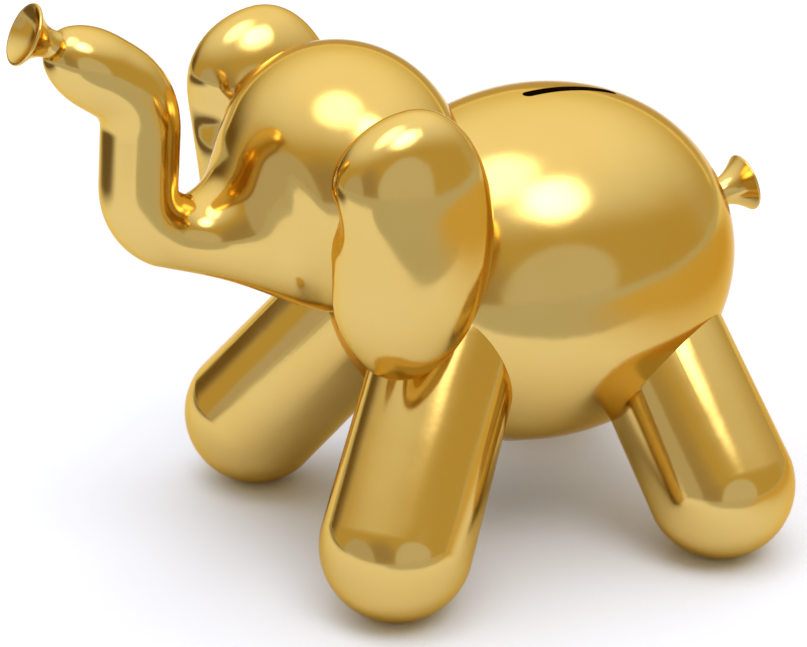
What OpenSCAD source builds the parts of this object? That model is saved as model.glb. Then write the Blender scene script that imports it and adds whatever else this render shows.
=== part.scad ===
// Balloon-animal elephant coin bank: slip-cast hollow ceramic balloons luted together, with a gold
// plated finish, a coin slot along the back and a soft stopper in the belly.
// The animal faces -Y, stands on z = 0, and is mirrored about the plane x = 0. Millimetres.

/* [Torso] */
// Radius of the torso balloon at its middle
torso_r = 60; // [50:1:72]
// Length of the torso balloon from chest to rump
torso_len = 143; // [120:1:172]
// Rise of the rump above the chest, as a tilt of the torso's long axis
torso_tilt = 4; // [0:0.5:8]
// How much fuller the rump is than the chest
torso_full = 0.03; // [0:0.01:0.08]
// Height of the belly's lowest line above the floor
belly_clear = 28; // [26:1:40]
// Thickness of the torso's cast wall
torso_wall = 4; // [3:0.25:5]

/* [Coin slot] */
// Length of the coin slot along the back
slot_len = 35; // [30:1:42]
// Width of the coin slot
slot_w = 4.6; // [3:0.2:5.5]
// Distance of the slot's middle behind the torso's middle
slot_back = 14; // [5:1:20]

/* [Stopper] */
// Diameter of the hole in the belly
hole_d = 34; // [28:0.5:38]
// Radial room between the stopper's ribs and the hole
rib_clear = 0.1; // [0.05:0.05:0.3]
// How far the stopper's flange reaches past the hole all round
flange_lap = 3; // [2.5:0.25:5]
// Thickness of the stopper's flange
flange_t = 1.6; // [1.2:0.1:2.4]
// Room round the flange in its recess
recess_clear = 0.4; // [0.2:0.1:0.8]
// Length of the stopper's shank inside the hole
shank_len = 9; // [7:0.5:12]
// Thickness of the stopper's cup wall
stopper_wall = 2.4; // [1.6:0.2:3]
// How far the stopper's ribs stand out of its shank
rib_out = 0.5; // [0.3:0.1:0.8]
// Width of the finger bar across the stopper's cup
bar_w = 5; // [3:0.5:7]

/* [Head] */
// Half of the head from chin to crown
head_tall = 45; // [38:0.5:54]
// Half of the head from neck to forehead
head_long = 41; // [35:0.5:49]
// Width of the head against its height
head_wide = 1.09; // [0.95:0.01:1.2]
// Lean of the crown backwards
head_lean = 16; // [5:1:30]
// Height of the head's middle above the torso's middle
head_rise = 42; // [36:1:51]
// Distance of the head's middle in front of the chest
head_fwd = 0.2; // [-5:0.2:6]
// Radius of the cheeks and chin under the head
jaw_r = 33.6; // [28:0.2:40]
// How far the cheeks' middle lies below the head's middle
jaw_drop = 9.2; // [4:0.2:14]
// Thickness of the cast wall of the head, ears and legs
limb_wall = 3.2; // [2.5:0.1:4]

/* [Trunk] */
// Radius of the trunk balloon
trunk_r = 12.6; // [10.5:0.1:15]
// How far the trunk's root stands in front of the head's middle
trunk_reach = 54.4; // [50:0.2:62]
// How far the trunk's root lies below the head's middle
trunk_drop = 8.4; // [4:0.2:14]
// Heading of the trunk at its root, above level
root_heading = 9; // [0:1:20]
// Heading of the trunk where it stands up
rise_heading = 94; // [80:1:100]
// Heading of the trunk's tip
tip_heading = 36; // [25:1:60]
// Bend radius under the trunk
lower_bend_r = 16.4; // [15:0.2:24]
// Bend radius where the trunk curls forward
upper_bend_r = 19.4; // [16:0.2:28]
// Straight length between the trunk's two bends
rise_len = 19.2; // [10:0.2:28]
// Straight length from the upper bend to the pinched tip
tip_len = 24.6; // [18:0.2:34]
// Height above the trunk's root of the notch between trunk and forehead
notch_up = 9.6; // [7:0.2:14]
// How far the notch lies behind the trunk's root
notch_back = 3.4; // [2:0.2:6]
// Depth of the chin below the trunk's root
chin_down = 15.8; // [12:0.2:20]

/* [Knots] */
// Radius of a tied balloon mouth at its rim
knot_r = 10; // [8:0.5:12]
// Radius of the pinched neck behind a rim
knot_neck_r = 4.2; // [3.5:0.1:5]
// Length of a knot's flare from its neck to its rim
knot_len = 8; // [6:0.5:10]
// Thickness of a knot's rolled rim
knot_lip = 1.8; // [1.2:0.1:2.4]
// Length of the trunk knot's neck
trunk_neck = 2; // [1:0.5:5]
// Upward tilt of the trunk knot
trunk_knot_tilt = 28; // [10:1:45]
// Length of the tail knot's neck
tail_neck = 6; // [2:0.5:9]
// Upward tilt of the tail knot
tail_tilt = 12; // [0:1:30]
// Height of the tail knot's root above the torso's middle
tail_rise = 11.5; // [0:0.5:20]

/* [Ears] */
// Half thickness of an ear
ear_thick = 20; // [16:0.5:24]
// Half of an ear from front to back
ear_long = 27.6; // [23:0.2:33]
// Half of an ear from top to bottom
ear_tall = 46; // [39:0.5:55]
// How far an ear's middle stands outside the head's side
ear_out = 6; // [3:0.5:12]
// How far an ear's middle lies below the head's middle
ear_drop = 4; // [0:0.5:12]
// Turn of an ear about the vertical, front edge outwards
ear_turn = 2; // [-10:1:20]
// Outward lean of an ear's top
ear_lean = 3; // [-5:1:15]

/* [Legs] */
// Radius of a leg at the hip
hip_r = 24; // [20:0.5:28]
// Radius of a foot
foot_r = 25; // [22:0.2:30]
// How much of a foot's round end is ground flat
sole_cut = 1; // [0.5:0.1:3]
// Depth of a front hip inside the torso's side
front_hip_sink = 33.4; // [26:0.2:40]
// Depth of a front hip below the torso's middle
front_hip_drop = 11.6; // [4:0.2:18]
// Distance of the front hips behind the chest
front_hip_in = 28; // [20:0.5:36]
// Outward step from a front hip to its foot
front_splay = 29.4; // [20:0.2:36]
// Forward step from a front hip to its foot
front_step = 34; // [24:0.5:41]
// Depth of a rear hip inside the torso's side
rear_hip_sink = 38; // [30:0.5:44]
// Depth of a rear hip below the torso's middle
rear_hip_drop = 14.6; // [6:0.2:20]
// Distance of the rear hips ahead of the rump
rear_hip_in = 41; // [32:0.5:50]
// Outward step from a rear hip to its foot
rear_splay = 42.4; // [32:0.2:51]
// Backward step from a rear hip to its foot
rear_step = 8.2; // [2:0.2:16]

/* [Joints between the casts] */
// Thickness of the slip that lutes one cast to the next
lute = 0.1; // [0.05:0.05:0.3]
// Diameter of the air vents between the hollow casts
vent_d = 5; // [3:0.5:7]

/* [Hidden] */
gold = [0.83, 0.66, 0.28];
deep_gold = [0.78, 0.58, 0.20];
grey_rubber = [0.32, 0.32, 0.33];
round_fn = 96;
profile_steps = 20;
ear_steps = 14;
ring_sides = 28;
past = 1;

// The torso's middle is on x = 0, y = 0 until the whole animal is centred by y_shift.
torso_z = belly_clear + torso_r;
chest_y = -torso_len / 2;
rump_y = torso_len / 2;
head_c = [chest_y - head_fwd, torso_z + head_rise];
jaw_fwd = jaw_r / 20;
jaw_c = head_c + [-jaw_fwd, -jaw_drop];
head_half_w = (head_tall + jaw_drop + jaw_r) / 2 * head_wide;

// Points are [y, z] in the plane of symmetry. A heading is measured up from the -Y direction.
function ahead(h) = [-cos(h), sin(h)];
function backside(h) = [sin(h), cos(h)];

// ---- Trunk: an arc, a straight, an arc the other way and a straight, by length along it ----
arc_1 = lower_bend_r * (rise_heading - root_heading) * PI / 180;
arc_2 = upper_bend_r * (rise_heading - tip_heading) * PI / 180;
trunk_len = arc_1 + rise_len + arc_2 + tip_len;
root_p = head_c + [-trunk_reach, -trunk_drop];
bend_1_c = root_p + lower_bend_r * backside(root_heading);
rise_p = bend_1_c - lower_bend_r * backside(rise_heading);
curl_p = rise_p + rise_len * ahead(rise_heading);
bend_2_c = curl_p - upper_bend_r * backside(rise_heading);
tip_p = bend_2_c + upper_bend_r * backside(tip_heading);
trunk_end = tip_p + tip_len * ahead(tip_heading);

function heading_at(s) =
    s < arc_1 ? root_heading + (rise_heading - root_heading) * s / arc_1 :
    s < arc_1 + rise_len ? rise_heading :
    s < arc_1 + rise_len + arc_2 ?
        rise_heading - (rise_heading - tip_heading) * (s - arc_1 - rise_len) / arc_2 :
    tip_heading;
function spine_at(s) =
    s < arc_1 ? bend_1_c - lower_bend_r * backside(heading_at(s)) :
    s < arc_1 + rise_len ? rise_p + (s - arc_1) * ahead(rise_heading) :
    s < arc_1 + rise_len + arc_2 ? bend_2_c + upper_bend_r * backside(heading_at(s)) :
    tip_p + (s - arc_1 - rise_len - arc_2) * ahead(tip_heading);
// The tip is a long ellipse that ends where its radius is the knot's neck.
tip_round = trunk_r * 1.6;
tip_start = trunk_len - tip_round * sqrt(1 - pow(knot_neck_r / trunk_r, 2));
function trunk_radius(s) =
    s > tip_start ? trunk_r * sqrt(max(0, 1 - pow((s - tip_start) / tip_round, 2))) : trunk_r;

// ---- Head: stations, each the pair of points where a ring crosses the plane of symmetry ----
function on_head(a) =
    let (b = a - head_lean)
    head_c + head_long * cos(b) * ahead(head_lean) + head_tall * sin(b) * backside(head_lean);
function on_jaw(a) = jaw_c + jaw_r * ahead(a);
function pair_to_station(back, front, wide) =
    let (c = norm(back - front) / 2) [(back + front) / 2, (back - front) / (2 * c), c, wide];
trunk_steps = 20;
head_steps = 14;
trunk_stations = [for (i = [trunk_steps:-1:1])
    let (s = trunk_len * i / trunk_steps, p = spine_at(s), n = backside(heading_at(s)), r = trunk_radius(s))
    pair_to_station(p + r * n, p - r * n, 1)];
notch_wide = 1.45;
notch_station = pair_to_station(root_p + [notch_back, notch_up],
                                root_p + [notch_back + chin_down * tan(20), -chin_down], notch_wide);
brow_angle = 10;
chin_angle = -58;
nape_angle = 204;
throat_angle = -148;
head_stations = [for (i = [0:head_steps])
    let (f = i / head_steps)
    pair_to_station(on_head(brow_angle + (nape_angle - brow_angle) * f),
                    on_jaw(chin_angle + (throat_angle - chin_angle) * f),
                    1 + (head_wide - 1) * min(1, 2.5 * f))];
stations = concat(trunk_stations, [notch_station], head_stations);

// A closed tube through the stations, each ring drawn in by inset.
function ring(st, inset) =
    let (r = max(0.5, st[2] - inset))
    [for (k = [0:ring_sides - 1])
        let (a = 360 * k / ring_sides, u = st[0] + st[1] * r * cos(a))
        [r * st[3] * sin(a), u[0], u[1]]];
module tube_through(sts, inset) {
    rings = len(sts);
    points = [for (st = sts) each ring(st, inset)];
    sides = [for (i = [0:rings - 2], k = [0:ring_sides - 1])
        let (a = i * ring_sides + k, b = i * ring_sides + (k + 1) % ring_sides)
        each [[a, b + ring_sides, b], [a, a + ring_sides, b + ring_sides]]];
    first = [for (k = [0:ring_sides - 1]) k];
    last = [for (k = [ring_sides - 1:-1:0]) (rings - 1) * ring_sides + k];
    polyhedron(points = points, faces = concat([first], sides, [last]));
}

// ---- Bounds along Y, from the rims of the two knots, which centre the whole ----
function knot_reach(neck, tilt) =
    (neck + knot_len - knot_lip / 2) * cos(tilt) + (knot_r - knot_lip / 2) * sin(tilt) + knot_lip / 2;
nose_y = trunk_end[0] - knot_reach(trunk_neck, trunk_knot_tilt);
// The tail's root stands on the rump, at its own height.
rump_up = tail_rise - rump_y * sin(torso_tilt);
tail_base = [rump_y * sqrt(1 - pow(rump_up / torso_r, 2)) * cos(torso_tilt), torso_z + tail_rise];
tail_end_y = tail_base[0] + knot_reach(tail_neck, tail_tilt);
y_shift = -(nose_y + tail_end_y) / 2;

// ---- Torso ----
module torso_solid(grow) {
    // Polar steps put more points where the outline turns fastest, near the two ends.
    outline = [for (i = [0:profile_steps]) let (a = 180 * i / profile_steps)
        [i == 0 || i == profile_steps ? 0 : (torso_r + grow) * sin(a) * (1 - torso_full * cos(a)),
         -(torso_len / 2 + grow) * cos(a)]];
    translate([0, 0, torso_z]) rotate([torso_tilt - 90, 0, 0])
        rotate_extrude($fn = round_fn) polygon(outline);
}
// The stopper's hole is at the lowest point of the belly, in a recess as deep as the flange.
hole_y = -pow(torso_len / 2, 2) / torso_r * tan(torso_tilt);
flange_r = hole_d / 2 + flange_lap;
recess_r = flange_r + recess_clear;
seat_z = torso_z - sqrt(torso_r * torso_r - recess_r * recess_r) + flange_t;
collar_r = recess_r + torso_wall;
module slot_cut() {
    straight = slot_len / 2 - slot_w / 2;
    translate([0, slot_back, torso_z]) {
        translate([-slot_w / 2, -straight, 0]) cube([slot_w, 2 * straight, torso_r + past]);
        for (e = [-1, 1]) translate([0, e * straight, 0]) cylinder(d = slot_w, h = torso_r + past, $fn = 32);
    }
}
module torso_shell() {
    color(gold) difference() {
        union() {
            difference() {
                torso_solid(0);
                torso_solid(-torso_wall);
            }
            // The wall keeps its thickness round the recess.
            intersection() {
                torso_solid(-torso_wall / 2);
                translate([0, hole_y, seat_z - torso_r]) cylinder(r = collar_r, h = torso_r + torso_wall, $fn = round_fn);
            }
        }
        slot_cut();
        translate([0, hole_y, seat_z - torso_r]) cylinder(r = recess_r, h = torso_r, $fn = round_fn);
        translate([0, hole_y, 0]) cylinder(d = hole_d, h = torso_z, $fn = round_fn);
        for (s = [-1, 1], l = [front_leg, rear_leg]) vent(l, s);
    }
}

// ---- Head, trunk and the two knots ----
module head_solid(inset) { tube_through(stations, inset); }
module head_shell() {
    color(gold) difference() {
        head_solid(0);
        // The hollow stops short of the pinched tip, which is cast solid.
        intersection() {
            head_solid(limb_wall);
            hollow_limit();
        }
        torso_solid(lute);
        // One bore along X vents both ears into the head.
        translate([0, ear_c[0], ear_c[1]]) rotate([0, 90, 0])
            cylinder(d = vent_d, h = 4 * head_half_w, center = true, $fn = 32);
    }
}
module hollow_limit() {
    p = tip_p + (tip_len - tip_round) * ahead(tip_heading);
    big = 2 * (torso_len + trunk_len);
    translate([0, p[0], p[1]]) rotate([-tip_heading, 0, 0]) translate([-big / 2, 0, -big / 2])
        cube([big, big, big]);
}
// A tied balloon mouth: a pinched neck that flares to a thin dished rim.
module knot(neck) {
    lip_r = knot_lip / 2;
    rim = [knot_r - lip_r, neck + knot_len - lip_r];
    flare = [for (i = [0:8]) let (a = 10 * i)
        [knot_neck_r + (rim[0] - knot_neck_r) * (1 - cos(a)), neck + (knot_len - knot_lip) * sin(a)]];
    rolled = [for (i = [0:9]) let (a = -75 + 240 * i / 9) rim + lip_r * [cos(a), sin(a)]];
    dish = [for (i = [1:6]) let (f = 1 - i / 6)
        [(rim[0] - lip_r) * f, rim[1] - knot_len * 0.3 * (1 - f * f)]];
    rotate_extrude($fn = round_fn)
        polygon(concat([[0, -knot_neck_r], [knot_neck_r, -knot_neck_r]], flare, rolled, dish));
}
module trunk_knot() {
    color(deep_gold) difference() {
        translate([0, trunk_end[0], trunk_end[1]]) rotate([90 - trunk_knot_tilt, 0, 0]) knot(trunk_neck);
        head_solid(-lute);
    }
}
module tail_knot() {
    color(deep_gold) difference() {
        translate([0, tail_base[0], tail_base[1]]) rotate([tail_tilt - 90, 0, 0]) knot(tail_neck);
        torso_solid(lute);
    }
}

// ---- Ears ----
ear_c = [head_c[0], head_c[1] - ear_drop];
module ear_solid(side, grow) {
    translate([side * (head_half_w + ear_out), ear_c[0], ear_c[1]])
        rotate([0, side * ear_lean, side * ear_turn])
            scale([(ear_thick + grow) / (ear_long + grow), 1, 1]) rotate_extrude($fn = round_fn) polygon(
                [for (i = [0:ear_steps]) let (a = 180 * i / ear_steps)
                    [i == 0 || i == ear_steps ? 0 : (ear_long + grow) * sin(a), -(ear_tall + grow) * cos(a)]]);
}
module ear(side) {
    color(gold) difference() {
        ear_solid(side, 0);
        ear_solid(side, -limb_wall);
        head_solid(-lute);
        torso_solid(lute);
        // A wide torso brings the front leg up to the ear.
        sausage(front_leg, side, lute);
    }
}

// ---- Legs: [hip point, foot centre] on the +X side ----
foot_z = foot_r - sole_cut;
front_leg = let (x = torso_r - front_hip_sink, y = chest_y + front_hip_in)
    [[x, y, torso_z - front_hip_drop], [x + front_splay, y - front_step, foot_z]];
rear_leg = let (x = torso_r - rear_hip_sink, y = rump_y - rear_hip_in)
    [[x, y, torso_z - rear_hip_drop], [x + rear_splay, y + rear_step, foot_z]];

// A sausage balloon from the hip to the foot, round at both ends.
module sausage(leg, side, grow) {
    along = leg[1] - leg[0];
    l = norm(along);
    // The straight flank is tangent to both round ends.
    lean = asin((foot_r - hip_r) / l);
    hip_arc = [for (i = [0:8]) let (a = -90 + (90 - lean) * i / 8)
        [i == 0 ? 0 : (hip_r + grow) * cos(a), (hip_r + grow) * sin(a)]];
    foot_arc = [for (i = [0:12]) let (a = -lean + (90 + lean) * i / 12)
        [i == 12 ? 0 : (foot_r + grow) * cos(a), l + (foot_r + grow) * sin(a)]];
    mirror([side < 0 ? 1 : 0, 0, 0]) translate(leg[0])
        rotate([0, acos(along[2] / l), atan2(along[1], along[0])]) rotate([0, 0, 100])
            rotate_extrude($fn = round_fn) polygon(concat(hip_arc, foot_arc));
}
module above_floor(cut) {
    big = 2 * torso_len;
    translate([-big, -big, cut]) cube([2 * big, 2 * big, big]);
}
module leg(leg, side) {
    color(gold) difference() {
        intersection() {
            sausage(leg, side, 0);
            above_floor(0);
        }
        intersection() {
            sausage(leg, side, -limb_wall);
            above_floor(limb_wall);
        }
        torso_solid(lute);
    }
}
module vent(leg, side) {
    along = leg[1] - leg[0];
    l = norm(along);
    mirror([side < 0 ? 1 : 0, 0, 0]) translate(leg[0])
        rotate([0, acos(along[2] / l), atan2(along[1], along[0])])
            cylinder(d = vent_d, h = torso_r, $fn = 32);
}

// ---- Stopper: a soft cup with a flange, two ribs and a finger bar ----
module stopper() {
    rib_r = hole_d / 2 - rib_clear;
    shank_r = rib_r - rib_out;
    cup_r = shank_r - stopper_wall;
    cup_top = shank_len - stopper_wall;
    color(grey_rubber) translate([0, hole_y, seat_z - rib_clear]) difference() {
        rotate_extrude($fn = round_fn) polygon([
            [0, -flange_t], [flange_r - flange_t / 2, -flange_t], [flange_r - flange_t * 0.15, -flange_t * 0.85],
            [flange_r, -flange_t / 2], [flange_r, 0], [shank_r, 0], [shank_r, shank_len * 0.40],
            [rib_r, shank_len * 0.50], [shank_r, shank_len * 0.62], [shank_r, shank_len * 0.72],
            [rib_r, shank_len * 0.82], [shank_r - rib_out, shank_len], [0, shank_len]]);
        // Two pockets leave a bar between them for a finger and thumb.
        for (s = [-1, 1]) intersection() {
            translate([0, 0, -flange_t - past]) cylinder(r = cup_r, h = cup_top + flange_t + past, $fn = round_fn);
            translate([s > 0 ? bar_w / 2 : -bar_w / 2 - cup_r, -cup_r, -flange_t - 2 * past])
                cube([cup_r, 2 * cup_r, cup_top + flange_t + 3 * past]);
        }
    }
}

module placed() { translate([0, y_shift, 0]) children(); }
placed() torso_shell();
placed() head_shell();
placed() trunk_knot();
placed() ear(1);  // left_ear
placed() ear(-1);  // right_ear
placed() leg(front_leg, 1);  // front_left_leg
placed() leg(front_leg, -1);  // front_right_leg
placed() leg(rear_leg, 1);  // rear_left_leg
placed() leg(rear_leg, -1);  // rear_right_leg
placed() tail_knot();
placed() stopper();
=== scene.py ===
"""Looks of a balloon-animal elephant coin bank: gold plated glazed ceramic with a rubber stopper."""
import math

import bpy
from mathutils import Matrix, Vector


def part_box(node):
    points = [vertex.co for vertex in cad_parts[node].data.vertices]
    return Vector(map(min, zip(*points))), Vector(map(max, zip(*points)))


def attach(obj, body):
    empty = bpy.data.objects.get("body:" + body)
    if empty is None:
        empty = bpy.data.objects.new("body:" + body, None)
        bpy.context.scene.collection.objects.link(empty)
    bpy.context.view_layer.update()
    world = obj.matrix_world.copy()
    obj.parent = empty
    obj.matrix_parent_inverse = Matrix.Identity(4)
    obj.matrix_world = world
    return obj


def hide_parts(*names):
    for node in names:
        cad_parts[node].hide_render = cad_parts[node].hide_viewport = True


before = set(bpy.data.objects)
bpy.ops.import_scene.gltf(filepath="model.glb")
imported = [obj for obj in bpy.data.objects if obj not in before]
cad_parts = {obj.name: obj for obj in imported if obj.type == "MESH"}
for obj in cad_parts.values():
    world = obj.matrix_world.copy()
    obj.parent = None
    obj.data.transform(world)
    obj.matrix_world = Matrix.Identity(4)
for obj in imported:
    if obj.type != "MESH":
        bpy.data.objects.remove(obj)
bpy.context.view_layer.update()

bl_info = {
    "name": "Balloon elephant bank",
    "version": (1, 0, 0),
    "blender": (4, 5, 0),
    "location": "View3D > Sidebar > Bank",
    "description": "Models a gold balloon-animal elephant coin bank and its studio",
    "category": "Object",
}

MM = 0.001
# The stopper's flange, which is also how deep it is let into the belly.
FLANGE_THICK = 1.6 * MM
# With no window, transform.rotate turns the other way.
TURN = -1
# The torso's own place: every other cast is set out from it.
TORSO_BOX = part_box("torso_shell")
MID_Y = (TORSO_BOX[0].y + TORSO_BOX[1].y) / 2


def linear(hex_code):
    """An sRGB hex colour as linear RGBA."""
    parts = [int(hex_code[i : i + 2], 16) / 255 for i in (1, 3, 5)]
    return tuple(c / 12.92 if c <= 0.04045 else ((c + 0.055) / 1.055) ** 2.4 for c in parts) + (1.0,)


def hue(name, text, hex_code):
    return bpy.props.FloatVectorProperty(
        name=name, description=text, subtype="COLOR", size=4, min=0, max=1, default=linear(hex_code))


def length(name, text, millimetres):
    return bpy.props.FloatProperty(
        name=name, description=text, default=millimetres * MM, min=0, unit="LENGTH", precision=4)


def angle(name, text, degrees):
    return bpy.props.FloatProperty(name=name, description=text, default=math.radians(degrees), unit="ROTATION")


class TorsoSizes(bpy.types.PropertyGroup):
    radius: length("Radius", "Radius of the torso balloon at its middle", 60)
    half: length("Half length", "Half the torso's length from chest to rump", 71.5)
    height: length("Height", "Height of the torso's middle above the floor", 88)
    tilt: angle("Tilt", "Rise of the rump above the chest", 4)
    wall: length("Wall", "Thickness of the cast wall", 4)
    lip: length("Lip", "Rounding of the coin slot's lips", 0.9)
    slot_length: length("Slot length", "Length of the coin slot", 35)
    slot_width: length("Slot width", "Width of the coin slot", 4.6)
    slot_back: length("Slot place", "Distance of the slot's middle behind the torso's middle", 14)


class HeadSizes(bpy.types.PropertyGroup):
    tall: length("Half height", "Half of the head from chin to crown", 45)
    long: length("Half length", "Half of the head from neck to forehead", 41)
    jaw: length("Jaw", "Radius of the cheeks and chin", 33.6)
    trunk: length("Trunk", "Radius of the trunk balloon", 12.6)


class EarSizes(bpy.types.PropertyGroup):
    thick: length("Half thickness", "Half the thickness of an ear", 20)
    long: length("Half length", "Half of an ear from front to back", 27.6)
    tall: length("Half height", "Half of an ear from top to bottom", 46)
    waist: length("Waist", "How far an ear's front edge is drawn in at its middle", 4)


class LegSizes(bpy.types.PropertyGroup):
    hip: length("Hip", "Radius of a leg at the hip", 24)
    foot: length("Foot", "Radius of a foot", 25)


class KnotSizes(bpy.types.PropertyGroup):
    rim: length("Rim", "Radius of a tied mouth at its rim", 10)
    neck: length("Neck", "Radius of the pinched neck", 4.6)
    flare: length("Flare", "Length from the neck to the rim", 8)
    lip: length("Lip", "Thickness of the rim", 1.2)


class StopperSizes(bpy.types.PropertyGroup):
    hole: length("Hole", "Diameter of the hole in the belly", 34)
    flange: length("Flange", "Radius of the stopper's flange", 20)
    recess: length("Recess", "Radius of the recess round the flange", 20.4)


class Finish(bpy.types.PropertyGroup):
    gold: hue("Gold", "Colour of the plated gold", "#D9BC72")
    gold_deep: hue("Deep gold", "Colour of the gold where its layer is thicker", "#D6B362")
    rubber: hue("Rubber", "Colour of the stopper", "#2B2A2C")
    floor: hue("Floor", "Colour of the table top", "#E8EDFC")
    wood: hue("Wood", "Colour of the wooden board beside the paper", "#C6AE68")
    dark: hue("Dark cloth", "Colour of the cloth beside the paper", "#5A4A36")
    room: hue("Room", "Colour of the room round the table", "#B4B8C0")


# ---- Modelling helpers ----
def deselect_all():
    if bpy.context.mode != "OBJECT":
        bpy.ops.object.mode_set(mode="OBJECT")
    bpy.ops.object.select_all(action="DESELECT")


def edit(obj):
    deselect_all()
    bpy.context.view_layer.objects.active = obj
    obj.select_set(True)
    bpy.ops.object.mode_set(mode="EDIT")
    bpy.ops.mesh.select_mode(type="VERT")
    bpy.ops.mesh.select_all(action="DESELECT")


def pick(obj, test):
    """Select the vertices for which test(co) is true, in edit mode."""
    bpy.ops.mesh.select_all(action="DESELECT")
    bpy.ops.object.mode_set(mode="OBJECT")
    for v in obj.data.vertices:
        v.select = bool(test(v.co))
    bpy.ops.object.mode_set(mode="EDIT")


def name_it(obj, name):
    obj.name = name
    obj.data.name = name
    return obj


def settle(obj):
    """Put the object's place, turn and size into its mesh."""
    deselect_all()
    bpy.context.view_layer.objects.active = obj
    obj.select_set(True)
    bpy.ops.object.transform_apply(location=True, rotation=True, scale=True)
    return obj


def apply(obj, kind, **values):
    deselect_all()
    bpy.context.view_layer.objects.active = obj
    obj.select_set(True)
    m = obj.modifiers.new(kind.lower(), kind)
    for key, value in values.items():
        setattr(m, key, value)
    bpy.ops.object.modifier_apply(modifier=m.name)
    return obj


def smooth(obj, degrees=40):
    deselect_all()
    bpy.context.view_layer.objects.active = obj
    obj.select_set(True)
    bpy.ops.object.shade_smooth_by_angle(angle=math.radians(degrees))
    return obj


def cut(obj, *tools):
    for tool in tools:
        apply(obj, "BOOLEAN", operation="DIFFERENCE", solver="EXACT", object=tool)
    return obj


def discard(*objects):
    for o in objects:
        bpy.data.objects.remove(o)


def close_up(obj):
    edit(obj)
    bpy.ops.mesh.select_all(action="SELECT")
    bpy.ops.mesh.remove_doubles(threshold=0.00001)
    bpy.ops.mesh.normals_make_consistent(inside=False)
    deselect_all()
    return obj


def ball(name, segments, rings):
    deselect_all()
    bpy.ops.mesh.primitive_uv_sphere_add(segments=segments, ring_count=rings, radius=1)
    return name_it(bpy.context.object, name)


def round_bar(name, radius, low, high, sides=128):
    """A plain round cutter along Z."""
    deselect_all()
    bpy.ops.mesh.primitive_cylinder_add(
        vertices=sides, radius=radius, depth=high.z - low.z, location=(low + high) / 2)
    return settle(name_it(bpy.context.object, name))


def loft(name, rings, sides):
    """Draw the first ring as a circle, then extrude it from ring to ring.
    A ring is (middle, turn about X, radius, widening along X)."""
    middle, turn, radius, wide = rings[0]
    deselect_all()
    bpy.ops.mesh.primitive_circle_add(
        vertices=sides, radius=radius, fill_type="NGON", location=middle, rotation=(turn, 0, 0))
    obj = settle(name_it(bpy.context.object, name))
    edit(obj)
    bpy.ops.mesh.select_all(action="SELECT")
    bpy.ops.transform.resize(value=(wide, 1, 1), center_override=middle)
    for ring in rings[1:]:
        bpy.ops.mesh.extrude_region_move(TRANSFORM_OT_translate={"value": ring[0] - middle})
        if abs(ring[1] - turn) > 1e-9:
            bpy.ops.transform.rotate(value=TURN * (ring[1] - turn), orient_axis="X", center_override=ring[0])
        grow = ring[2] / radius
        bpy.ops.transform.resize(value=(grow * ring[3] / wide, grow, grow), center_override=ring[0])
        middle, turn, radius, wide = ring
    return close_up(obj)


def hand_over(obj, slot, *nodes):
    body = "plug" if "stopper" in nodes else "bank"
    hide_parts(*nodes)
    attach(obj, body)


# ---- Materials ----
def node(tree, kind, settings=None, links=None):
    """Add a node with its settings and its links from other nodes' sockets."""
    n = tree.nodes.new(kind)
    for key, value in (settings or {}).items():
        if key in n.inputs:
            n.inputs[key].default_value = value
        else:
            setattr(n, key, value)
    for key, source in (links or {}).items():
        tree.links.new(source, n.inputs[key])
    return n


def new_material(name):
    m = bpy.data.materials.get(name)
    if m:
        return m, None, None
    m = bpy.data.materials.new(name)
    m.use_nodes = True
    return m, m.node_tree, m.node_tree.nodes["Principled BSDF"]


def gold_plate():
    """Gold electroplated over a glazed slip-cast body: a mirror with the glaze's faint orange peel."""
    m, tree, skin = new_material("gold_electroplate_over_glazed_ceramic")
    if tree is None:
        return m
    finish = bpy.context.scene.elephant_finish
    place = node(tree, "ShaderNodeTexCoord")
    # The layer's thickness drifts over the casts, about 30 mm from one patch to the next.
    drift = node(tree, "ShaderNodeTexNoise", {"Scale": 33.0, "Detail": 2.0}, {"Vector": place.outputs["Object"]})
    tint = node(tree, "ShaderNodeMix", {"data_type": "RGBA"}, {"Factor": drift.outputs["Fac"]})
    tint.inputs[6].default_value = finish.gold
    tint.inputs[7].default_value = finish.gold_deep
    tree.links.new(tint.outputs[2], skin.inputs["Base Color"])
    skin.inputs["Metallic"].default_value = 1.0
    # Gold keeps its colour even where it is seen edge on.
    skin.inputs["Specular Tint"].default_value = linear("#F6DDAA")
    # Hand polishing leaves hazier patches, about 12 mm across.
    haze = node(tree, "ShaderNodeTexNoise", {"Scale": 85.0, "Detail": 4.0}, {"Vector": place.outputs["Object"]})
    rough = node(tree, "ShaderNodeMapRange", {"To Min": 0.09, "To Max": 0.17}, {"Value": haze.outputs["Fac"]})
    tree.links.new(rough.outputs["Result"], skin.inputs["Roughness"])
    # Orange peel of the glaze, 2.5 mm from crest to crest and a few microns high.
    peel = node(tree, "ShaderNodeTexNoise", {"Scale": 400.0, "Detail": 1.0}, {"Vector": place.outputs["Object"]})
    fine = node(tree, "ShaderNodeBump", {"Strength": 0.25, "Distance": 0.00004}, {"Height": peel.outputs["Fac"]})
    # The cast's own slow waviness, 15 mm from crest to crest.
    wave = node(tree, "ShaderNodeTexNoise", {"Scale": 60.0, "Detail": 1.0}, {"Vector": place.outputs["Object"]})
    slow = node(tree, "ShaderNodeBump", {"Strength": 0.5, "Distance": 0.0003},
                {"Height": wave.outputs["Fac"], "Normal": fine.outputs["Normal"]})
    tree.links.new(slow.outputs["Normal"], skin.inputs["Normal"])
    return m


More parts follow.
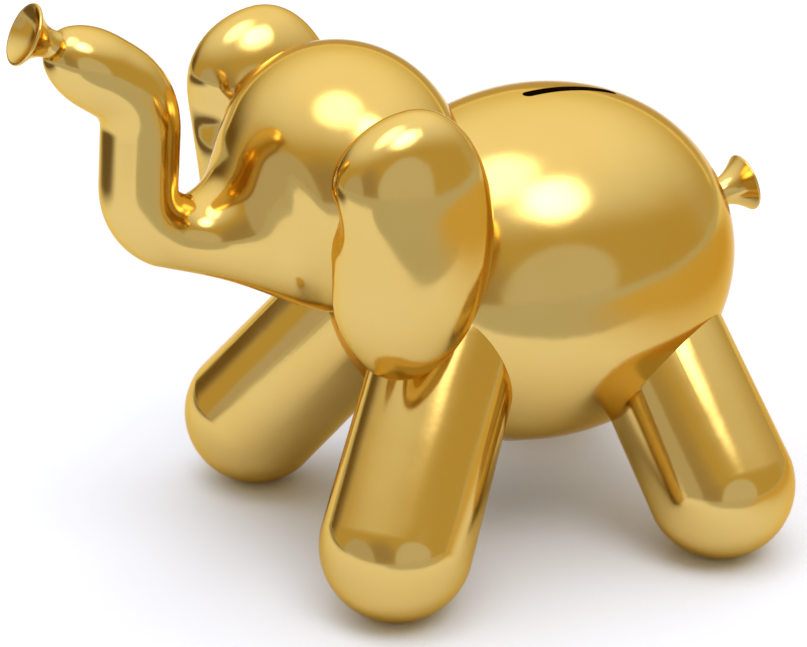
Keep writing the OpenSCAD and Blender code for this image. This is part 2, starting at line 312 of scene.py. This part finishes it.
def soft_rubber():
    """Moulded PVC rubber: matt, with a fine spark-eroded grain."""
    m, tree, skin = new_material("moulded_soft_pvc_rubber")
    if tree is None:
        return m
    place = node(tree, "ShaderNodeTexCoord")
    dust = node(tree, "ShaderNodeTexNoise", {"Scale": 140.0, "Detail": 4.0}, {"Vector": place.outputs["Object"]})
    tone = node(tree, "ShaderNodeMix", {"data_type": "RGBA"}, {"Factor": dust.outputs["Fac"]})
    tone.inputs[6].default_value = bpy.context.scene.elephant_finish.rubber
    tone.inputs[7].default_value = linear("#3A393B")
    tree.links.new(tone.outputs[2], skin.inputs["Base Color"])
    rough = node(tree, "ShaderNodeMapRange", {"To Min": 0.55, "To Max": 0.75}, {"Value": dust.outputs["Fac"]})
    tree.links.new(rough.outputs["Result"], skin.inputs["Roughness"])
    grain = node(tree, "ShaderNodeTexNoise", {"Scale": 1800.0, "Detail": 2.0}, {"Vector": place.outputs["Object"]})
    bump = node(tree, "ShaderNodeBump", {"Strength": 0.4, "Distance": 0.0001}, {"Height": grain.outputs["Fac"]})
    tree.links.new(bump.outputs["Normal"], skin.inputs["Normal"])
    skin.inputs["IOR"].default_value = 1.5
    return m


def coat(obj, material):
    obj.data.materials.clear()
    obj.data.materials.append(material)


# ---- Shapes that more than one cast needs ----
def torso_blank(name, segments=128, rings=72):
    """The torso balloon, uncut: a stretched ball, fuller at the rump, lying along Y."""
    s = bpy.context.scene.elephant_torso
    obj = ball(name, segments, rings)
    obj.rotation_euler = (0, 0, math.pi / segments)
    settle(obj)
    obj.scale = (s.radius, s.radius, s.half)
    settle(obj)
    apply(obj, "SIMPLE_DEFORM", deform_method="TAPER", deform_axis="Z", factor=0.06)
    obj.rotation_euler = (s.tilt - math.pi / 2, 0, 0)
    obj.location = (0, MID_Y, s.height)
    return settle(obj)


def ahead(h):
    return Vector((0, -math.cos(h), math.sin(h)))


def backside(h):
    return Vector((0, math.sin(h), math.cos(h)))


def hole_middle():
    s = bpy.context.scene.elephant_torso
    return Vector((0, MID_Y - s.half ** 2 / s.radius * math.tan(s.tilt), 0))


# The head's middle, from the torso's chest and middle, and how far its crown leans back.
HEAD_AHEAD, HEAD_ABOVE = 0.2 * MM, 42 * MM
HEAD_LEAN = math.radians(16)
# The trunk's headings above level: where it leaves the head, where it rises and at its tip.
ROOT, RISE, TIP = (math.radians(a) for a in (9, 94, 36))


class Trunk:
    """The trunk's middle line: an arc, a straight, an arc the other way and a straight."""

    def __init__(self):
        s = bpy.context.scene.elephant_torso
        h = bpy.context.scene.elephant_head
        self.head = Vector((0, MID_Y - s.half - HEAD_AHEAD, s.height + HEAD_ABOVE))
        self.root = self.head + Vector((0, -54.4, -8.4)) * MM
        self.r = h.trunk
        # Radii of the low and the upper bend, and lengths of the rise and of the tip.
        self.low, self.up, self.rise, self.tip = 16.4 * MM, 19.4 * MM, 19.2 * MM, 24.6 * MM
        self.low_arc = self.low * (RISE - ROOT)
        self.up_arc = self.up * (RISE - TIP)
        self.length = self.low_arc + self.rise + self.up_arc + self.tip
        self.low_middle = self.root + self.low * backside(ROOT)
        self.low_end = self.low_middle - self.low * backside(RISE)
        self.up_start = self.low_end + self.rise * ahead(RISE)
        self.up_middle = self.up_start - self.up * backside(RISE)
        self.up_end = self.up_middle + self.up * backside(TIP)
        self.end = self.up_end + self.tip * ahead(TIP)

    def at(self, s):
        """Middle and heading at a length along the trunk."""
        if s < self.low_arc:
            h = ROOT + (RISE - ROOT) * s / self.low_arc
            return self.low_middle - self.low * backside(h), h
        if s < self.low_arc + self.rise:
            return self.low_end + (s - self.low_arc) * ahead(RISE), RISE
        if s < self.low_arc + self.rise + self.up_arc:
            h = RISE - (RISE - TIP) * (s - self.low_arc - self.rise) / self.up_arc
            return self.up_middle + self.up * backside(h), h
        return self.up_end + (s - self.low_arc - self.rise - self.up_arc) * ahead(TIP), TIP

    def radius(self, s):
        """The trunk is even, and its tip is a long ellipse that ends in the knot's neck."""
        neck = bpy.context.scene.elephant_knots.neck
        long = self.r * 1.6
        start = self.length - long * math.sqrt(1 - (neck / self.r) ** 2)
        return self.r * math.sqrt(max(0, 1 - ((s - start) / long) ** 2)) if s > start else self.r


def pair(back, front, wide):
    """The ring whose diameter in the plane of symmetry runs from front to back."""
    d = back - front
    return ((back + front) / 2, math.atan2(d.z, d.y), d.length / 2, wide)


def head_rings():
    """Rings from the trunk's tip, over the notch at its root, round the head to the nape."""
    h = bpy.context.scene.elephant_head
    t = Trunk()
    rings = []
    steps = 40
    for i in range(steps, 0, -1):
        p, heading = t.at(t.length * i / steps)
        n = backside(heading) * t.radius(t.length * i / steps)
        rings.append(pair(p + n, p - n, 1))

    # The notch under the brow, on a line that leans 20 degrees.
    notch, notch_up, notch_down = 3.4 * MM, 9.6 * MM, 15.8 * MM
    notch_back = t.root + Vector((0, notch, notch_up))
    notch_front = t.root + Vector((0, notch + notch_down * math.tan(math.radians(20)), -notch_down))
    saddle = (notch_back + notch_front) / 2
    # Half width and its slope at the trunk and at the cheeks, and the way from one to the other.
    thin, thin_slope, full, full_slope = 12.6 * MM, 8.5 * MM, 33.9 * MM, 29 * MM
    lead, way = 7 * MM, 34 * MM

    def flank(ring):
        """Widen a ring so that the sides run smoothly from the trunk into the cheeks."""
        u = min(1, ((ring[0] - saddle).length + lead) / way)
        half = ((2 * u ** 3 - 3 * u ** 2 + 1) * thin + (u ** 3 - 2 * u ** 2 + u) * thin_slope
                + (3 * u ** 2 - 2 * u ** 3) * full + (u ** 3 - u ** 2) * full_slope)
        return ring if u == 1 else (*ring[:3], half / ring[2])

    rings.append(flank(pair(notch_back, notch_front, 1)))
    # The head's back is an ellipse and its front the chin's circle; rings join the two all the way round.
    chin = t.head + Vector((0, -h.jaw / 20, -9.2 * MM))
    turns = 36
    for i in range(turns + 1):
        f = i / turns
        b = math.radians(10 + 194 * f) - HEAD_LEAN
        back = t.head + h.long * math.cos(b) * ahead(HEAD_LEAN) + h.tall * math.sin(b) * backside(HEAD_LEAN)
        front = chin + h.jaw * ahead(math.radians(-58 - 90 * f))
        if i == 0:
            # Rings between the notch and the brow, so that the shelf under the forehead is smooth.
            for k in (0.25, 0.5, 0.75):
                rings.append(flank(pair(notch_back.lerp(back, k), notch_front.lerp(front, k), 1)))
        rings.append(flank(pair(back, front, 1 + 0.09 * min(1, 2.5 * f))))
    return rings


def head_blank(name):
    return loft(name, head_rings(), 64)


# ---- The casts, one operator each ----
class BANK_OT_torso(bpy.types.Operator):
    """Model the torso with its coin slot and belly hole"""

    bl_idname = "bank.torso"
    bl_label = "Torso"

    def execute(self, context):
        s, p = context.scene.elephant_torso, context.scene.elephant_stopper
        torso = torso_blank("torso")
        apply(torso, "SOLIDIFY", thickness=s.wall, offset=-1.0)
        top = Vector((0, MID_Y + s.slot_back, s.height + s.radius * 1.2))
        deselect_all()
        bpy.ops.mesh.primitive_cylinder_add(
            vertices=48, radius=s.slot_width / 2, depth=s.radius, location=top - Vector((0, 0, s.radius / 2)))
        slot = settle(name_it(context.object, "slot_cutter"))
        edit(slot)
        straight = s.slot_length / 2 - s.slot_width / 2
        for side in (-1, 1):
            pick(slot, lambda co: (co.y - top.y) * side > 1e-6)
            bpy.ops.transform.translate(value=(0, side * straight, 0))
        deselect_all()
        hole = hole_middle()
        bore = round_bar("bore_cutter", p.hole / 2, hole, hole + Vector((0, 0, s.height)))
        sunk = s.height - math.sqrt(s.radius ** 2 - p.recess ** 2) + FLANGE_THICK
        recess = round_bar("recess_cutter", p.recess, hole, hole + Vector((0, 0, sunk)))
        cut(torso, slot, bore, recess)
        discard(slot, bore, recess)
        apply(torso, "BEVEL", width=s.lip, segments=4, limit_method="ANGLE", angle_limit=math.radians(50),
              use_clamp_overlap=True)
        smooth(torso, 45)
        apply(torso, "WEIGHTED_NORMAL", weight=100, keep_sharp=True)
        coat(torso, gold_plate())
        hand_over(torso, "gold_glaze", "torso_shell")
        return {"FINISHED"}


class BANK_OT_head(bpy.types.Operator):
    """Model the head and the raised trunk as one cast"""

    bl_idname = "bank.head"
    bl_label = "Head and trunk"

    def execute(self, context):
        head = head_blank("head_and_trunk")
        apply(head, "SUBSURF", levels=1, render_levels=1)
        # The saddle behind the trunk is wiped smooth, as a wet join is.
        middle = Trunk().root + Vector((0, 7 * MM, 0))
        edit(head)
        pick(head, lambda co: abs(co.y - middle.y) < 17 * MM and abs(co.z - middle.z) < 24 * MM)
        bpy.ops.mesh.vertices_smooth(factor=0.5, repeat=16)
        deselect_all()
        core = torso_blank("torso_core")
        cut(head, core)
        discard(core)
        smooth(head, 50)
        coat(head, gold_plate())
        hand_over(head, "gold_glaze", "head_shell")
        return {"FINISHED"}


class BANK_OT_ears(bpy.types.Operator):
    """Model both ears, each with its waist against the head"""

    bl_idname = "bank.ears"
    bl_label = "Ears"

    def execute(self, context):
        e = context.scene.elephant_ears
        head = head_blank("head_core")
        # Steps along Y for the front edge: height, step, reach and how far out from the ear's middle it starts.
        moves = ((32, -4.5, 26, 20), (-6, 2.2, 20, 20), (12, e.waist / MM, 11, -3))
        # The left ear's middle, from the head's.
        place = Trunk().head + Vector((53.85, 0, -4)) * MM
        for side, name, cad in ((1, "ear_left", "left_ear"), (-1, "ear_right", "right_ear")):
            ear = ball(name, 96, 64)
            ear.scale = (e.thick, e.long, e.tall)
            settle(ear)
            # The front edge is fuller high up and flatter at its middle. On the side towards the head it is
            # drawn in at a waist, where the ear was pressed on.
            edit(ear)
            for z, step, reach, outer in moves:
                pick(ear, lambda co: (
                    co.y < -e.long * 0.6 and abs(co.z - z * MM) < 2.5 * MM and side * co.x < outer * MM))
                bpy.ops.transform.translate(
                    value=(0, step * MM, 0), use_proportional_edit=True, proportional_edit_falloff="SMOOTH",
                    proportional_size=reach * MM)
            pick(ear, lambda co: co.y < -2 * MM)
            bpy.ops.mesh.vertices_smooth(factor=0.5, repeat=4)
            deselect_all()
            ear.rotation_euler = (0, side * math.radians(5.5), side * math.radians(2))
            ear.location = (side * place.x, place.y, place.z)
            settle(ear)
            cut(ear, head)
            smooth(ear, 50)
            coat(ear, gold_plate())
            hand_over(ear, "gold_glaze", cad)
        discard(head)
        return {"FINISHED"}


class BANK_OT_legs(bpy.types.Operator):
    """Model the four sausage legs with their ground soles"""

    bl_idname = "bank.legs"
    bl_label = "Legs"

    def execute(self, context):
        g = context.scene.elephant_legs
        core = torso_blank("torso_core")
        # Hip and foot of each left leg, from the torso's middle along Y and from the floor, in millimetres.
        places = {
            "front": (Vector((26.6, -43.5, 76.4)), Vector((56, -77.5, 24.4))),
            "rear": (Vector((22, 30.5, 73.4)), Vector((64.4, 38.7, 24.4))),
        }
        for end, (hip, foot) in places.items():
            hip, foot = hip * MM + Vector((0, MID_Y, 0)), foot * MM + Vector((0, MID_Y, 0))
            along = foot - hip
            leg = ball("leg_" + end + "_left", 96, 48)
            leg.scale = (g.hip,) * 3
            settle(leg)
            edit(leg)
            pick(leg, lambda co: co.z > 1e-6)
            bpy.ops.transform.resize(value=(g.foot / g.hip,) * 3, center_override=(0, 0, 0))
            bpy.ops.transform.translate(value=(0, 0, along.length))
            deselect_all()
            leg.rotation_mode = "QUATERNION"
            leg.rotation_quaternion = along.to_track_quat("Z", "Y")
            leg.location = hip
            settle(leg)
            leg.rotation_mode = "XYZ"
            edit(leg)
            bpy.ops.mesh.select_all(action="SELECT")
            # The sole is ground flat, a hair above the table.
            bpy.ops.mesh.bisect(
                plane_co=(0, 0, 0.02 * MM), plane_no=(0, 0, 1), clear_inner=True, use_fill=True, threshold=0.000001)
            deselect_all()
            cut(leg, core)
            smooth(leg, 35)
            coat(leg, gold_plate())
            deselect_all()
            leg.select_set(True)
            context.view_layer.objects.active = leg
            bpy.ops.object.duplicate()
            other = name_it(context.object, "leg_" + end + "_right")
            edit(other)
            bpy.ops.mesh.select_all(action="SELECT")
            bpy.ops.transform.mirror(constraint_axis=(True, False, False), center_override=(0, 0, 0))
            bpy.ops.mesh.normals_make_consistent(inside=False)
            deselect_all()
            hand_over(leg, "gold_glaze", end + "_left_leg")
            hand_over(other, "gold_glaze", end + "_right_leg")
        discard(core)
        return {"FINISHED"}


def knot_rings(base, heading, reach):
    """Rings of a tied mouth, from inside its balloon out to the rim and back into the dish."""
    k = bpy.context.scene.elephant_knots
    lip = k.lip / 2
    rim_r, rim_h = k.rim - lip, reach + k.flare - lip
    start, dish = reach * 0.3, k.flare * 0.42
    # The trumpet from the neck out to the rim, the rim's rounding and the dish inside it.
    outline = [(k.neck, -k.neck)]
    for i in range(17):
        f = i / 16
        outline.append((k.neck + (rim_r + lip * 0.6 - k.neck) * f ** 2, start + (rim_h - lip * 0.8 - start) * f))
    for i in range(1, 12):
        a = math.radians(-50 + 180 * i / 12)
        outline.append((rim_r + lip * math.cos(a), rim_h + lip * math.sin(a)))
    for i in range(14):
        f = 1 - i / 14
        outline.append(((rim_r - lip * 0.7) * f, rim_h + lip * 0.7 - dish * (1 - f * f)))
    axis = ahead(heading)
    turn = math.atan2(backside(heading).z, backside(heading).y)
    return [(base + axis * h, turn, r, 1) for r, h in outline]


class BANK_OT_knots(bpy.types.Operator):
    """Model the tied mouths at the trunk's tip and at the tail"""

    bl_idname = "bank.knots"
    bl_label = "Knots"

    def execute(self, context):
        s = context.scene.elephant_torso
        t = Trunk()
        tail = Vector((0, MID_Y + 70.904 * MM, s.height + 11.5 * MM))
        for name, cad, base, heading, reach in (
            ("knot_trunk", "trunk_knot", t.end, math.radians(28), 2 * MM),
            ("knot_tail", "tail_knot", tail, math.radians(180 - 12), 6 * MM),
        ):
            knot = loft(name, knot_rings(base, heading, reach), 96)
            edit(knot)
            bpy.ops.mesh.select_all(action="SELECT")
            bpy.ops.mesh.region_to_loop()
            bpy.ops.mesh.edge_face_add()
            close_up(knot)
            smooth(knot, 60)
            coat(knot, gold_plate())
            hand_over(knot, "gold_glaze", cad)
        return {"FINISHED"}


class BANK_OT_stopper(bpy.types.Operator):
    """Model the soft stopper with its two finger pockets"""

    bl_idname = "bank.stopper"
    bl_label = "Stopper"

    def execute(self, context):
        low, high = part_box("stopper")
        middle = (low + high) / 2
        p = context.scene.elephant_stopper
        rib = p.hole / 2 - 0.1 * MM
        shank = rib - 0.5 * MM
        top = 10.6 * MM
        # Under the flange, round its edge, up the shank over its two ribs and over the top.
        outline = [
            (p.flange * 0.5, 0), (p.flange - 0.9 * MM, 0), (p.flange - 0.25 * MM, 0.2 * MM), (p.flange, 0.7 * MM),
            (p.flange, FLANGE_THICK), (shank, FLANGE_THICK), (shank, 5.2 * MM), (rib, 6.1 * MM), (shank, 7.2 * MM),
            (shank, 8.1 * MM), (rib, 9.0 * MM), (shank - 0.5 * MM, top), (shank * 0.5, top)]
        rings = [(Vector((0, middle.y, low.z + h)), 0, r, 1) for r, h in outline]
        plug = loft("rubber_stopper", rings, 96)
        edit(plug)
        pick(plug, lambda co: abs(co.z - high.z) < 1e-5 and math.hypot(co.x, co.y - middle.y) < shank * 0.6)
        bpy.ops.mesh.edge_face_add()
        close_up(plug)
        # A finger pocket each side of a grip web.
        pocket, depth, half_web = 14 * MM, 8.2 * MM, 2.5 * MM
        for side in (-1, 1):
            cup = round_bar(
                "cup_cutter", pocket, Vector((0, middle.y, low.z - 2 * MM)), Vector((0, middle.y, low.z + depth)))
            edit(cup)
            bpy.ops.mesh.select_all(action="SELECT")
            bpy.ops.mesh.bisect(
                plane_co=(side * half_web, middle.y, 0), plane_no=(side, 0, 0), clear_inner=True, use_fill=True)
            deselect_all()
            cut(plug, cup)
            discard(cup)
        close_up(plug)
        smooth(plug, 45)
        coat(plug, soft_rubber())
        hand_over(plug, "stopper_rubber", "stopper")
        return {"FINISHED"}


# ---- Studio ----
# The camera's place: a turn from the animal's front and a rise above level, in radians, and a distance.
TURN_ROUND, RISE_UP, FAR = 1.11414, 0.41361, 1.04527


def compass(turn, rise):
    """A direction, in degrees to the camera's right and above level."""
    a, e = TURN_ROUND + math.radians(turn), math.radians(rise)
    return (math.sin(a) * math.cos(e), -math.cos(a) * math.cos(e), math.sin(e))


def light_room(scene):
    """A room of soft light: each zone is a cone with a soft edge, painted over the ones before."""
    finish = scene.elephant_finish
    world = scene.world or bpy.data.worlds.new("studio")
    scene.world = world
    world.use_nodes = True
    tree = world.node_tree
    out = tree.nodes["Background"]
    view = node(tree, "ShaderNodeTexCoord").outputs["Generated"]
    # The far wall, two dark corners, two pale doors, the overhead cloth, and the bright edge and the
    # shade behind the bank. Each: turn, rise, half angle of the core, half angle of the edge, colour.
    zones = [
        (180, 0, 60, 80, (0.66, 0.58, 0.43)),
        (-138, 0, 12, 36, (0.18, 0.12, 0.05)),
        (-25, 5, 10, 34, (0.44, 0.36, 0.25)),
        (-56, -4, 25, 27, (0.62, 0.60, 0.60)),
        (25, 5, 25, 28, (0.74, 0.73, 0.74)),
        (180, 70, 48, 74, (0.98, 0.97, 0.95)),
        (180, -32, 47, 49, (1.3, 1.26, 1.18)),
        (180, -32, 44, 46, (0.66, 0.58, 0.43)),
    ]
    base = node(tree, "ShaderNodeRGB")
    base.outputs[0].default_value = (0.64, 0.50, 0.20, 1)
    colour = base.outputs[0]
    for turn, rise, core, edge, tone in zones:
        dot = node(tree, "ShaderNodeVectorMath", {"operation": "DOT_PRODUCT"})
        tree.links.new(view, dot.inputs[0])
        dot.inputs[1].default_value = compass(turn, rise)
        mask = node(tree, "ShaderNodeMapRange", {
            "interpolation_type": "SMOOTHSTEP", "From Min": math.cos(math.radians(edge)),
            "From Max": math.cos(math.radians(core))}, {"Value": dot.outputs["Value"]})
        mix = node(tree, "ShaderNodeMix", {"data_type": "RGBA"}, {"Factor": mask.outputs["Result"]})
        tree.links.new(colour, mix.inputs[6])
        mix.inputs[7].default_value = (*tone, 1)
        colour = mix.outputs[2]
    # Glows with no edge: the lamps behind the overhead cloth. Each: turn, rise, reach, strength.
    for turn, rise, reach, tone in ((34, 60, 19, 4.0), (14, 62, 16, 0.7), (-50, 77, 22, 2.6), (180, 70, 60, 0.3)):
        dot = node(tree, "ShaderNodeVectorMath", {"operation": "DOT_PRODUCT"})
        tree.links.new(view, dot.inputs[0])
        dot.inputs[1].default_value = compass(turn, rise)
        mask = node(tree, "ShaderNodeMapRange", {
            "interpolation_type": "SMOOTHERSTEP", "From Min": math.cos(math.radians(reach)), "From Max": 1.0,
            "To Max": tone}, {"Value": dot.outputs["Value"]})
        add = node(tree, "ShaderNodeVectorMath", {"operation": "ADD"})
        tree.links.new(colour, add.inputs[0])
        tree.links.new(mask.outputs["Result"], add.inputs[1])
        colour = add.outputs["Vector"]
    tree.links.new(colour, out.inputs["Color"])
    out.inputs["Strength"].default_value = 1.0


def table_paper(finish):
    """Matt paper sweep: white where the bank stands, pale grey further off."""
    m, tree, skin = new_material("matt_paper_sweep")
    if tree is None:
        return m
    place = node(tree, "ShaderNodeTexCoord")
    sheet = node(tree, "ShaderNodeRGB")
    sheet.outputs[0].default_value = finish.floor
    colour = sheet.outputs[0]
    # The grey room beyond the sheet and in front of it, a wooden board on the right and a dark cloth on
    # the left. Each: turn, distance and radius of a circle, its soft edge (inwards where less than 0), colour.
    for turn, off, radius, soft, after in (
            (180, 0.3, 0.95, 0.05, finish.room), (32, 0.80, 0.58, -0.02, finish.room),
            (92, 0.75, 0.65, -0.24, finish.wood), (-100, 0.85, 0.56, -0.26, finish.dark)):
        away = node(tree, "ShaderNodeVectorMath", {"operation": "DISTANCE"})
        tree.links.new(place.outputs["Object"], away.inputs[0])
        way = compass(turn, 0)
        away.inputs[1].default_value = (way[0] * off, way[1] * off, 0)
        fade = node(tree, "ShaderNodeMapRange", {
            "interpolation_type": "SMOOTHSTEP", "From Min": radius, "From Max": radius + soft},
            {"Value": away.outputs["Value"]})
        mix = node(tree, "ShaderNodeMix", {"data_type": "RGBA"}, {"Factor": fade.outputs["Result"]})
        tree.links.new(colour, mix.inputs[6])
        mix.inputs[7].default_value = after
        colour = mix.outputs[2]
    tree.links.new(colour, skin.inputs["Base Color"])
    skin.inputs["Roughness"].default_value = 0.85
    return m


class BANK_OT_studio(bpy.types.Operator):
    """Set up the table, the soft room and the camera"""

    bl_idname = "bank.studio"
    bl_label = "Studio"

    def execute(self, context):
        scene = context.scene
        finish = scene.elephant_finish
        deselect_all()
        bpy.ops.mesh.primitive_circle_add(vertices=128, radius=4.0, fill_type="NGON")
        floor = name_it(context.object, "paper_sweep")
        edit(floor)
        bpy.ops.mesh.select_all(action="SELECT")
        bpy.ops.mesh.inset(thickness=0.01)
        deselect_all()
        coat(floor, table_paper(finish))
        light_room(scene)

        aim = Vector((0, -0.89, 74.275)) * MM
        place = aim + FAR * Vector(compass(0, math.degrees(RISE_UP)))
        bpy.ops.object.camera_add(location=place)
        camera = context.object
        camera.rotation_euler = (place - aim).to_track_quat("Z", "Y").to_euler()
        camera.data.lens, camera.data.sensor_width = 139.95, 36.0
        camera.data.sensor_fit = "HORIZONTAL"
        camera.data.clip_start = 0.05
        scene.camera = camera
        scene.view_settings.view_transform = "Standard"
        return {"FINISHED"}


class BANK_PT_panel(bpy.types.Panel):
    """Steps that build the bank"""

    bl_label = "Elephant bank"
    bl_idname = "BANK_PT_panel"
    bl_space_type = "VIEW_3D"
    bl_region_type = "UI"
    bl_category = "Bank"

    def draw(self, context):
        for op in OPERATORS:
            self.layout.operator(op.bl_idname)


OPERATORS = (BANK_OT_torso, BANK_OT_head, BANK_OT_ears, BANK_OT_legs, BANK_OT_knots, BANK_OT_stopper, BANK_OT_studio)
GROUPS = {"elephant_torso": TorsoSizes, "elephant_head": HeadSizes, "elephant_ears": EarSizes,
          "elephant_legs": LegSizes, "elephant_knots": KnotSizes, "elephant_stopper": StopperSizes,
          "elephant_finish": Finish}


def register():
    for cls in (*GROUPS.values(), *OPERATORS, BANK_PT_panel):
        bpy.utils.register_class(cls)
    for name, group in GROUPS.items():
        setattr(bpy.types.Scene, name, bpy.props.PointerProperty(type=group))


def unregister():
    for name in GROUPS:
        delattr(bpy.types.Scene, name)
    for cls in reversed((*GROUPS.values(), *OPERATORS, BANK_PT_panel)):
        bpy.utils.unregister_class(cls)


def main():
    register()
    for op in OPERATORS:
        group, name = op.bl_idname.split(".")
        getattr(getattr(bpy.ops, group), name)()


if __name__ == "__main__":
    main()
